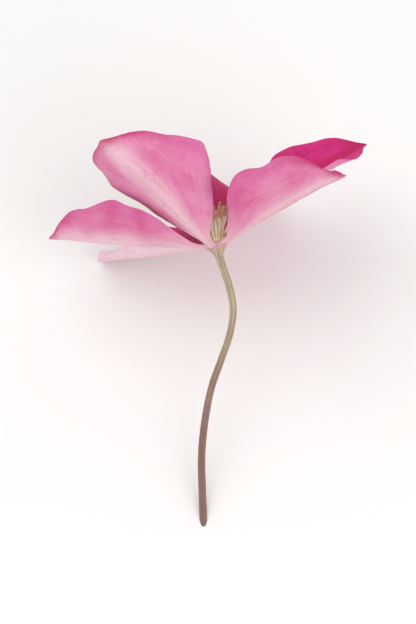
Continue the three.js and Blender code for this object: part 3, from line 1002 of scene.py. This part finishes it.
def spline(points, count):
    """Evenly spaced points on a smooth curve through the given ones, with centripetal knots."""
    points = np.asarray(points, float)
    before, after = 2 * points[0] - points[1], 2 * points[-1] - points[-2]
    padded = np.vstack([before, points, after])
    samples = []
    for i in range(len(points) - 1):
        p0, p1, p2, p3 = padded[i : i + 4]
        d0, d1, d2 = (np.linalg.norm(b - a) ** 0.5 for a, b in ((p0, p1), (p1, p2), (p2, p3)))
        m1 = ((p1 - p0) / d0 - (p2 - p0) / (d0 + d1) + (p2 - p1) / d1) * d1
        m2 = ((p2 - p1) / d1 - (p3 - p1) / (d1 + d2) + (p3 - p2) / d2) * d1
        u = np.linspace(0, 1, 60, endpoint=False)[:, None]
        samples.append(
            p1 + m1 * u + (3 * (p2 - p1) - 2 * m1 - m2) * u**2 + (2 * (p1 - p2) + m1 + m2) * u**3
        )
    samples = np.vstack(samples + [points[-1:]])
    run = np.concatenate([[0], np.cumsum(np.linalg.norm(np.diff(samples, axis=0), axis=1))])
    return between(np.linspace(0, run[-1], count), run, samples)


def stalk_rings(path, share):
    """The stalk's furrowed skin, a little rough, in the upright frame."""
    radius = STALK_RADIUS * (1 + STALK_TOP_FLARE * (1 - share) ** 6 + STALK_FOOT_FLARE * share)

    def furrows(angles):
        return 1 - STALK_FURROW * (1 - np.cos(STALK_RIBS * angles)) / 2

    rings = tube(path, STALK_START, radius, radius, STALK_SIDES, furrows, STALK_TWIST)
    rough = ROUGHNESS * field(share[:, None] * 90, np.arange(STALK_SIDES)[None, :] * 0.8, 31)
    return rings + rough[..., None] * unit(rings - path[:, None, :])


def receptacle_rings():
    """The swollen top of the stalk, with a soft lobe under each sepal, in the bloom frame."""
    angles = full_turn(SEAT_SIDES)
    lobes = np.zeros_like(angles)
    for sepal in SEPALS.values():
        apart = (np.degrees(angles) - sepal["azimuth"] + 180) % 360 - 180
        lobes += bell(apart, 0, LOBE_SPREAD)
    swell = 1 + LOBE_HEIGHT * lobes[None, :] * smooth(SEAT_PROFILE[:, 1:], -3.5, -1)
    return revolved(SEAT_PROFILE, angles, swell)


def cut_at_table(piece):
    """Cuts a piece off level with the table and closes the cut with its second material."""
    work = bmesh.new()
    work.from_mesh(piece.data)
    everything = work.verts[:] + work.edges[:] + work.faces[:]
    cut = bmesh.ops.bisect_plane(
        work, geom=everything, plane_co=(0, 0, 0), plane_no=(0, 0, -1), clear_outer=True
    )
    edges = [item for item in cut["geom_cut"] if isinstance(item, bmesh.types.BMEdge)]
    filled = bmesh.ops.edgeloop_fill(work, edges=edges)
    for face in filled["faces"]:
        face.material_index = 1
        face.smooth = False
    work.to_mesh(piece.data)
    work.free()


def on_patch(rings, i, k, u, v):
    """A point on the patch between two neighbouring rings and sides."""
    j = (k + 1) % rings.shape[1]
    low = rings[i, k] * (1 - v) + rings[i, j] * v
    high = rings[i + 1, k] * (1 - v) + rings[i + 1, j] * v
    return low * (1 - u) + high * u


def make_stalk_hairs(path, rings, seat, material):
    """Short hairs on the stalk, more of them towards its top, and on the receptacle."""
    random = np.random.default_rng(9)
    hairs = []
    for _ in range(STALK_HAIRS):
        i = min(int(random.beta(0.9, 1.3) * STALK_ROWS), STALK_ROWS - 2)
        k = random.integers(STALK_SIDES)
        root = on_patch(rings, i, k, random.random(), random.random())
        if root[2] < STALK_CLEARANCE:
            continue
        away = unit(root - path[i])
        along = unit(path[i + 1] - path[i])
        heading = away + along * random.uniform(-0.9, 0.2) + random.normal(0, 0.25, 3)
        hairs.append((root - away * 0.03, heading, random.uniform(0.22, 0.5)))
    for _ in range(SEAT_HAIRS):
        i, k = random.integers(1, 9), random.integers(SEAT_SIDES)
        root = on_patch(seat, i, k, random.random(), random.random())
        away = unit(root - from_bloom(np.array([0, 0, SEAT_PROFILE[i, 1]])))
        heading = away + random.normal(0, 0.35, 3)
        hairs.append((root - away * 0.03, heading, random.uniform(0.25, 0.55)))
    make_piece("stalk_hairs", *strands(hairs, **STALK_HAIR), [material], "stalk")


def make_stalk(materials, hair_material):
    path = spline(STALK_PATH, STALK_ROWS)
    share = np.linspace(0, 1, STALK_ROWS)
    rings = from_upright(stalk_rings(path, share))
    seat = from_bloom(receptacle_rings())
    bundle = Bundle()
    bundle.add(rings, share)
    bundle.add(seat, -0.2 * smooth(SEAT_PROFILE[:, 1], -4.4, -0.6))
    piece = bundle.make("stalk_and_receptacle", materials, "stalk")
    cut_at_table(piece)
    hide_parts("stalk")
    make_stalk_hairs(from_upright(path), rings, seat, hair_material)


# Stage


def make_floor():
    mesh = bpy.data.meshes.new("floor")
    corners = [(x * FLOOR_REACH, y * FLOOR_REACH, 0) for x, y in ((-1, -1), (1, -1), (1, 1), (-1, 1))]
    mesh.from_pydata(corners, [], [(0, 1, 2, 3)])
    mesh.materials.append(floor_look())
    floor = new_object("floor", mesh)


def aim(thing, at):
    """Turns a camera or light so that it looks at a point."""
    heading = Vector(at) - thing.location
    thing.rotation_euler = heading.to_track_quat("-Z", "Y").to_euler()


def make_light(name, place, size, power):
    data = bpy.data.lights.new(name, "AREA")
    data.shape = "DISK"
    data.size = size
    data.energy = power
    light = new_object(name, data)
    light.location = place
    aim(light, LIGHTS_AT)


def make_camera(target, elevation, distance, view_width):
    data = bpy.data.cameras.new("camera")
    data.sensor_fit = "HORIZONTAL"
    data.sensor_width = SENSOR_WIDTH
    data.lens = SENSOR_WIDTH * distance / view_width
    data.clip_end = 20
    camera = new_object("camera", data)
    e = math.radians(elevation)
    camera.location = Vector(target) + Vector((0, -math.cos(e), math.sin(e))) * distance
    aim(camera, target)
    bpy.context.scene.camera = camera


def make_world():
    world = bpy.data.worlds.new("studio")
    world.use_nodes = True
    background = world.node_tree.nodes["Background"]
    background.inputs["Color"].default_value = (1, 1, 1, 1)
    background.inputs["Strength"].default_value = WORLD_STRENGTH
    bpy.context.scene.world = world
    bpy.context.scene.view_settings.view_transform = "Standard"


hair_material = hair_look()
sepal_materials = [outer_look(), inner_look()]
surfaces = [
    make_sepal(name, sepal, seed, sepal_materials) for seed, (name, sepal) in enumerate(SEPALS.items(), 1)
]
make_down(surfaces, hair_material)
make_stamens(stamen_look())
make_pistils(pistil_look(), hair_material)
make_stalk([stalk_look(), cut_look()], hair_material)

make_floor()
make_world()
for name, light in LIGHTS.items():
    make_light(name, **light)
make_camera(**CAMERA)
